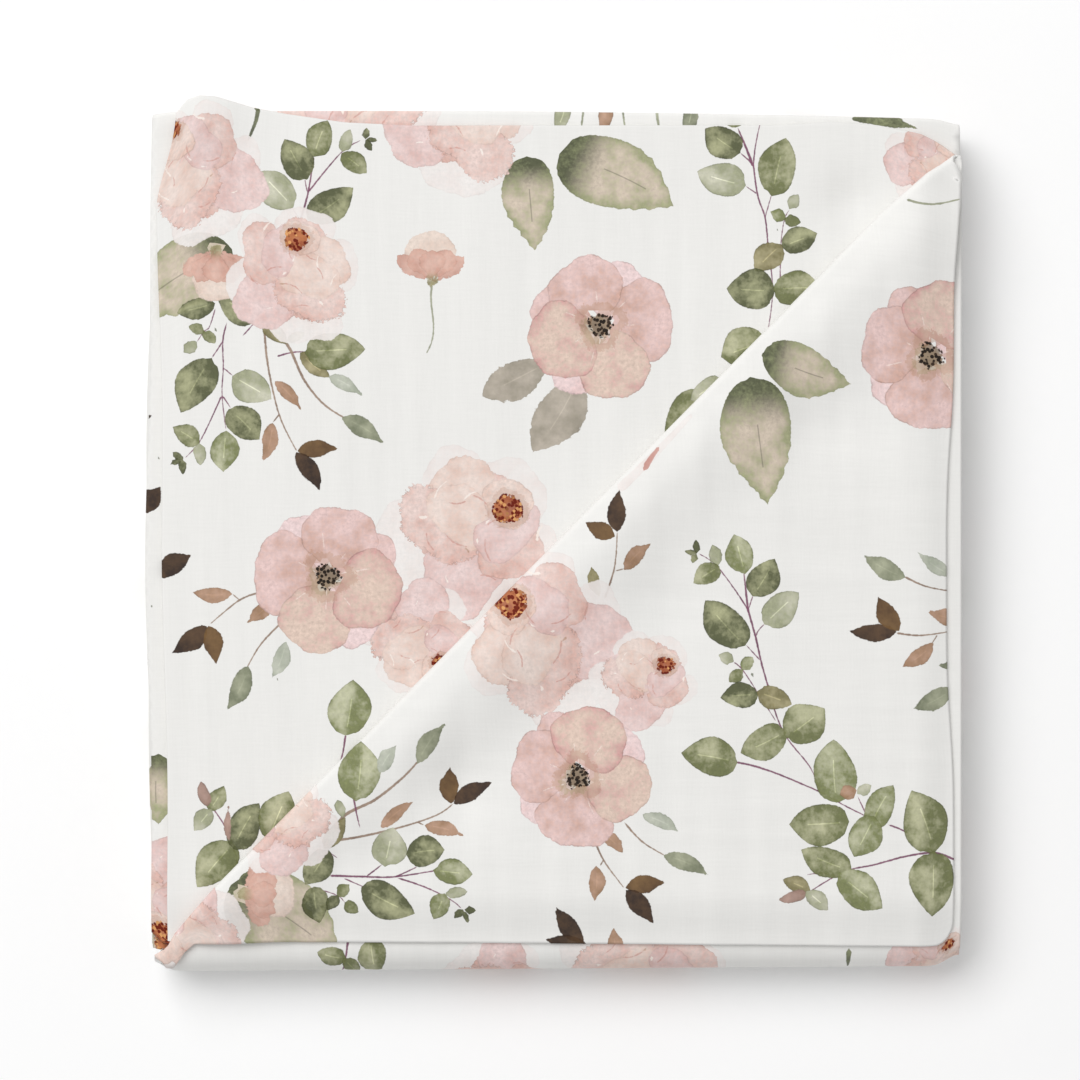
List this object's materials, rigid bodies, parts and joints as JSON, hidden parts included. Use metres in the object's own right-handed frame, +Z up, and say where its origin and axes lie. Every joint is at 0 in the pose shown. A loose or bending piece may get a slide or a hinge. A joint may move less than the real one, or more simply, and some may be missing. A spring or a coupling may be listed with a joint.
{
  "type": "swaddle blanket",
  "caption": "Swaddle blanket of printed muslin, folded to a flat square with a smooth roll at the front and a three-cornered flap turned over the diagonal.",
  "frame": {"origin": "middle of the underside of the folded blanket", "axes": "+Z up through the layers, -Y towards the smooth roll at the front, +X to the right seen from above with the roll nearest"},
  "size_m": [0.3042, 0.3266, 0.0386],
  "materials": {
    "muslin": "matt woven cotton muslin, printed"
  },
  "bodies": {
    "root": {"swaddle_blanket": "muslin"}
  },
  "joints": []
}
